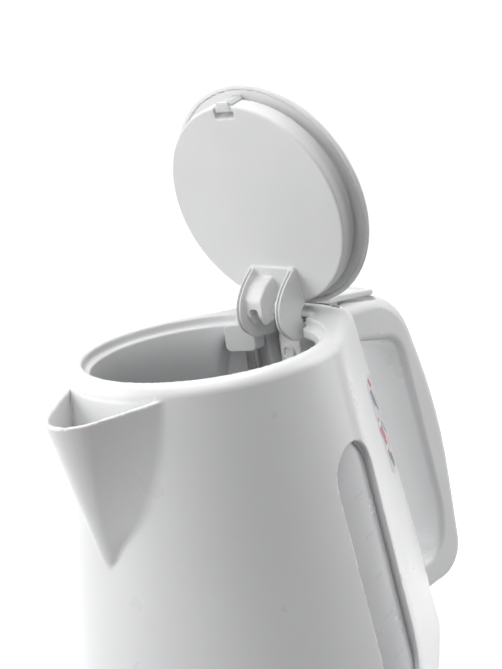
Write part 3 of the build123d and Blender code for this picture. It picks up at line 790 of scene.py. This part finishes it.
def label_film():
    across = np.linspace(-1, 1, LABEL_GRID[0])
    up = np.linspace(0, 1, LABEL_GRID[1])
    points, places = [], []
    for v in up:
        z = LABEL_LOW + (LABEL_HIGH - LABEL_LOW) * v
        end = min(v, 1 - v) * (LABEL_HIGH - LABEL_LOW)
        wide = LABEL_HALF * math.sqrt(max(1 - max(1 - end / LABEL_HALF, 0) ** 2, 0.0004))
        for u in across:
            x = pillar_rear(z) - LABEL_BACK + u * wide * 0.86
            points.append((x, -60.0, z))
            places.append((u * wide / LABEL_HALF / 2 + 0.5, v))
    points = np.array(points, float)
    for _ in range(14):
        points[:, 1] += round_and_pillar(*points.T) - FILM_TOP
    n = LABEL_GRID[0]
    faces = [(j * n + i, j * n + i + 1, (j + 1) * n + i + 1, (j + 1) * n + i)
             for j in range(LABEL_GRID[1] - 1) for i in range(n - 1)]
    film = mesh_piece("pillar_label", points, faces)
    layer = film.data.uv_layers.new(name="print")
    for loop in film.data.loops:
        layer.data[loop.index].uv = places[loop.vertex_index]
    thick = film.modifiers.new("film", "SOLIDIFY")
    thick.thickness, thick.offset = FILM_THICK * MM, -1
    return film


label_piece = label_film()
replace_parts(label_piece, "handle_badge")
label_ends = [label_piece.bound_box[i] for i in (0, 6)]
print("label, millimetres:", [tuple(round(v / MM, 1) for v in end) for end in label_ends])

# %% [markdown]
# ## Finishes from nodes
#
# No plastic is one even colour. Every finish here has a wide, faint cloud of two close colours, a gloss
# that changes a little over the surface, and a bump so fine that only highlights show it. Noise makes all
# three. It is read in the object's own space, so it moves with the piece. A grain that is stretched along
# one axis gives the drawn look of steel.

# %% Finish maker
def node(tree, kind, **values):
    made = tree.nodes.new(kind)
    for key, value in values.items():
        if hasattr(made, key):
            setattr(made, key, value)
        else:
            made.inputs[key.replace("_", " ")].default_value = value
    return made


def noise(tree, place, scale, detail=4.0, stretch=(1, 1, 1)):
    """Noise in the object's own space, stretched if asked; scale is cycles per metre."""
    mapping = node(tree, "ShaderNodeMapping", Scale=stretch)
    tree.links.new(place, mapping.inputs["Vector"])
    made = node(tree, "ShaderNodeTexNoise", Scale=scale, Detail=detail)
    tree.links.new(mapping.outputs["Vector"], made.inputs["Vector"])
    return made.outputs["Fac"]


def between(tree, fac, low, high):
    made = node(tree, "ShaderNodeMapRange", From_Min=0.3, From_Max=0.7, To_Min=low, To_Max=high)
    tree.links.new(fac, made.inputs["Value"])
    return made.outputs["Result"]


def finish(name, colours, rough, grain, bump, stretch=(1, 1, 1), cloud=22, **fixed):
    """A material with clouded colour, uneven gloss and a fine bump; fixed sets plain shader inputs."""
    made = bpy.data.materials.new(name)
    made.use_nodes = True
    tree = made.node_tree
    shader = tree.nodes["Principled BSDF"]
    place = node(tree, "ShaderNodeTexCoord").outputs["Object"]
    mix = node(tree, "ShaderNodeMix", data_type="RGBA")
    for socket, value in zip([i for i in mix.inputs if i.type == "RGBA"], colours):
        socket.default_value = (*value, 1)
    tree.links.new(between(tree, noise(tree, place, cloud), 0, 1), mix.inputs["Factor"])
    colour = next(o for o in mix.outputs if o.type == "RGBA")
    tree.links.new(colour, shader.inputs["Base Color"])
    uneven = noise(tree, place, cloud * 3.1, 6.0, stretch)
    tree.links.new(between(tree, uneven, *rough), shader.inputs["Roughness"])
    relief = node(tree, "ShaderNodeBump", Strength=bump, Distance=0.0002)
    tree.links.new(noise(tree, place, grain, 3.0, stretch), relief.inputs["Height"])
    tree.links.new(relief.outputs["Normal"], shader.inputs["Normal"])
    for key, value in fixed.items():
        shader.inputs[key.replace("_", " ")].default_value = value
    return made


# %% [markdown]
# ## One finish for each material of the record
#
# The shell is a white plastic with a soft gloss. Inside the vessel the same plastic is left plainer. The
# water windows are a milky grey. Metals are set by their metallic value, and rubbers by a dark, dull colour.

# %% Finishes
WHITE_A, WHITE_B = (0.83, 0.835, 0.84), (0.80, 0.805, 0.81)
FINISHES = {
    "white_shell": finish("white_shell", (WHITE_A, WHITE_B), (0.27, 0.34), 2600, 0.05, cloud=14,
                          Subsurface_Weight=0.04, Subsurface_Scale=0.004),
    "white_inner": finish("white_inner", ((0.80, 0.80, 0.80), (0.76, 0.765, 0.77)), (0.38, 0.48), 2200, 0.08),
    "gauge": finish("gauge", ((0.66, 0.67, 0.68), (0.60, 0.61, 0.63)), (0.20, 0.28), 900, 0.05,
                    Transmission_Weight=0.12, Subsurface_Weight=0.15, Subsurface_Scale=0.006),
    "filter_cloth": finish("filter_cloth", ((0.74, 0.74, 0.70), (0.62, 0.62, 0.58)), (0.55, 0.75), 3800, 0.6),
    "steel": finish("steel", ((0.58, 0.58, 0.59), (0.50, 0.50, 0.52)), (0.22, 0.36), 1800, 0.12,
                    Metallic=1.0),
    "steam_pipe": finish("steam_pipe", ((0.62, 0.61, 0.60), (0.30, 0.30, 0.31)), (0.20, 0.34), 900, 0.15,
                         stretch=(9, 9, 0.05), cloud=60, Metallic=1.0),
    "brass": finish("brass", ((0.70, 0.50, 0.20), (0.58, 0.40, 0.16)), (0.24, 0.40), 1600, 0.12,
                    Metallic=1.0),
    "rubber": finish("rubber", ((0.035, 0.035, 0.037), (0.055, 0.054, 0.053)), (0.70, 0.85), 1500, 0.3),
    "silicone": finish("silicone", ((0.62, 0.60, 0.58), (0.54, 0.52, 0.50)), (0.42, 0.55), 1400, 0.12,
                       Subsurface_Weight=0.1, Subsurface_Scale=0.003),
    "black_plastic": finish("black_plastic", ((0.03, 0.03, 0.032), (0.05, 0.05, 0.052)), (0.38, 0.52), 2400,
                            0.2),
    "aluminium": finish("aluminium", ((0.70, 0.70, 0.71), (0.60, 0.60, 0.62)), (0.30, 0.46), 1200, 0.25,
                        Metallic=1.0),
}
print(len(FINISHES), "finishes")

# %% [markdown]
# ## The label's print
#
# The print on the film is a few plain blocks of red and slate on white, with no letters. Each block is a
# slanted box, worked out from the film's own UV by a chain of small sums: how far a point lies from the
# box's middle, compared with its half size.

# %% Label finish
def sums(tree, operation, a, b=None):
    made = node(tree, "ShaderNodeMath", operation=operation)
    for i, value in enumerate((a, b)):
        if value is None:
            continue
        if isinstance(value, (int, float)):
            made.inputs[i].default_value = value
        else:
            tree.links.new(value, made.inputs[i])
    return made.outputs[0]


def block(tree, u, v, middle, half, slant):
    """1 inside a slanted box of the print, 0 outside."""
    across = sums(tree, "SUBTRACT", sums(tree, "ADD", u, sums(tree, "MULTIPLY", v, slant)),
                  middle[0] + middle[1] * slant)
    up = sums(tree, "SUBTRACT", v, middle[1])
    inside = [sums(tree, "LESS_THAN", sums(tree, "ABSOLUTE", way), size)
              for way, size in zip((across, up), half)]
    return sums(tree, "MULTIPLY", *inside)


RED, SLATE, PALE = (0.60, 0.10, 0.12), (0.10, 0.17, 0.24), (0.80, 0.66, 0.68)
BLOCKS = [((0.50, 0.91), (0.16, 0.045), 1.6, RED), ((0.40, 0.77), (0.20, 0.085), 1.2, SLATE),
          ((0.66, 0.66), (0.10, 0.035), 2.0, SLATE), ((0.22, 0.57), (0.10, 0.02), 1.0, RED),
          ((0.36, 0.40), (0.26, 0.10), 1.4, RED), ((0.76, 0.44), (0.07, 0.075), 2.4, SLATE),
          ((0.70, 0.31), (0.12, 0.03), 2.4, PALE), ((0.42, 0.19), (0.13, 0.055), 1.2, RED),
          ((0.66, 0.11), (0.22, 0.075), 1.6, SLATE)]


def label_finish():
    made = finish("badge", ((0.86, 0.86, 0.87), (0.82, 0.82, 0.83)), (0.16, 0.24), 1500, 0.03)
    tree = made.node_tree
    shader = tree.nodes["Principled BSDF"]
    film = node(tree, "ShaderNodeUVMap", uv_map="print").outputs["UV"]
    split = node(tree, "ShaderNodeSeparateXYZ")
    tree.links.new(film, split.inputs[0])
    u, v = split.outputs["X"], split.outputs["Y"]
    colour = shader.inputs["Base Color"].links[0].from_socket
    for middle, half, slant, ink in BLOCKS:
        mix = node(tree, "ShaderNodeMix", data_type="RGBA")
        ends = [i for i in mix.inputs if i.type == "RGBA"]
        tree.links.new(block(tree, u, v, middle, half, slant), mix.inputs["Factor"])
        tree.links.new(colour, ends[0])
        ends[1].default_value = (*ink, 1)
        colour = next(o for o in mix.outputs if o.type == "RGBA")
    tree.links.new(colour, shader.inputs["Base Color"])
    return made


FINISHES["badge"] = label_finish()
print("label print:", len(BLOCKS), "blocks")

# %% [markdown]
# ## Giving out the finishes
#
# The record names a material for every CAD part. A new piece takes the finish of the part it stands for,
# and moves with that part's body.

# %% Finish every part and piece
SLOTS = {part["node"]: part["material_slot"] for part in frame["record"]["subparts"]}
pieces = [o for o in scene.objects if o.type == "MESH" and "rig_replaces" in o]
for piece in pieces:
    stands_for = piece["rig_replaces"][0]
    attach(piece, frame["nodes"][stands_for]["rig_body"])
    piece.data.materials.append(FINISHES[SLOTS[stands_for]])
for name, part in frame["nodes"].items():
    part.data.materials.clear()
    part.data.materials.append(FINISHES[SLOTS[name]])
print(len(pieces), "pieces made,", len(frame["nodes"]), "CAD parts, finishes:", sorted(set(SLOTS.values())))

# %% [markdown]
# ## Floor and backdrop
#
# A white thing on white needs dark as much as light, so the surroundings must not light it from all round.
# The floor and the wall behind are one sheet with a wide bend. The sheet glows by itself, so that it stays
# white, but diffuse light doesn't see it: its glow and its bounce would fill the grey in again.

# %% Floor and backdrop
def sheet_of(name, line, half, away):
    """A sheet along a line of (distance, height) in the level direction away, pulled sideways by half."""
    side = Vector((-away[1], away[0], 0))
    way = Vector((*away, 0))
    rows = [[way * d + side * k * half + Vector((0, 0, h)) for k in (-1, 1)] for d, h in line]
    points = np.array([list(p) for row in rows for p in row]) / MM
    faces = [(2 * i, 2 * i + 1, 2 * i + 3, 2 * i + 2) for i in range(len(rows) - 1)]
    return mesh_piece(name, points, faces)


LOOK = Vector((0.69379, 0.67735, -0.24463)).normalized()
AWAY = LOOK.xy.normalized()     # level, and away from the camera
BEND, BACK = 0.6, 1.6
SWEEP_FRONT, SWEEP_HALF, SWEEP_TOP = -1.2, 4.0, 3.0
bend = [(BACK + BEND * math.sin(a), BEND - BEND * math.cos(a)) for a in np.linspace(0, math.pi / 2, 13)]
line = [(SWEEP_FRONT, 0)] + bend + [(BACK + BEND, SWEEP_TOP)]
sweep = sheet_of("studio_sweep", line, SWEEP_HALF, AWAY)
paper = finish("paper", ((0.90, 0.90, 0.90), (0.88, 0.88, 0.88)), (0.8, 0.9), 800, 0.05,
               Emission_Color=(1, 1, 1, 1), Emission_Strength=0.82)
sweep.data.materials.append(paper)
sweep.visible_diffuse = False
print("sheet:", len(line), "rows of points")

# %% [markdown]
# ## Lights
#
# Big soft lights stand left, right and above. In front there is only a weak one low down and one high up.
# So the middle of the round body turns grey, and both of its sides are bright. The lights' directions are
# counted from the camera's side, and each one faces the kettle.

# %% Lights
world = bpy.data.worlds.new("room")
scene.world = world
world.use_nodes = True
sky = world.node_tree.nodes["Background"]
sky.inputs["Color"].default_value = (1, 1, 1, 1)
sky.inputs["Strength"].default_value = 0.14
scene.view_settings.view_transform = "Standard"


def softbox(name, around, up, far, size, power):
    """Area light aimed at the kettle: degrees round from the camera's side, degrees up, metres away."""
    up = math.radians(up)
    data = bpy.data.lights.new(name, "AREA")
    data.shape = "RECTANGLE"
    data.size, data.size_y = size
    data.energy = power
    box = bpy.data.objects.new(name, data)
    turn = math.atan2(-AWAY.y, -AWAY.x) + math.radians(around)
    way = Vector((math.cos(turn) * math.cos(up), math.sin(turn) * math.cos(up), math.sin(up)))
    box.location = way * far + Vector((0, 0, 0.15))
    box.rotation_mode = "QUATERNION"
    box.rotation_quaternion = way.to_track_quat("Z", "Y")
    scene.collection.objects.link(box)


LIGHTS = [("left_side", -75, 15, 1.2, (0.6, 1.0), 6.5), ("left_back", -105, 20, 1.2, (0.6, 1.0), 4.5),
          ("left_front", -40, 25, 1.3, (0.7, 0.8), 1.8), ("right_back", 105, 20, 1.2, (0.6, 1.0), 6.5),
          ("overhead", 180, 80, 1.3, (0.9, 0.9), 9.5), ("above_front", 0, 60, 1.2, (0.8, 0.6), 4.5)]
for light in LIGHTS:
    softbox(*light)
print(len(LIGHTS), "soft lights")

# %% [markdown]
# ## Camera
#
# The camera stands before the beak and to one side of it, with the handle behind. It looks down a little
# through a longish lens, and it is rolled by a few degrees, so that the kettle leans.

# %% Camera
CAMERA_AT = Vector((-354.84, -375.65, 336.86)) * MM
ROLL = math.radians(-7.6)
LENS = 67.0


def add_camera():
    level = LOOK.cross(Vector((0, 0, 1))).normalized()
    up = level.cross(LOOK)
    right = math.cos(ROLL) * level + math.sin(ROLL) * up
    head = -math.sin(ROLL) * level + math.cos(ROLL) * up
    data = bpy.data.cameras.new("camera")
    data.lens = LENS
    data.clip_start = 0.02
    camera = bpy.data.objects.new("camera", data)
    turn = Matrix((right, head, -LOOK)).transposed().to_4x4()
    camera.matrix_world = Matrix.Translation(CAMERA_AT) @ turn
    scene.collection.objects.link(camera)
    scene.camera = camera
    print("camera at", [round(v, 3) for v in CAMERA_AT])


add_camera()
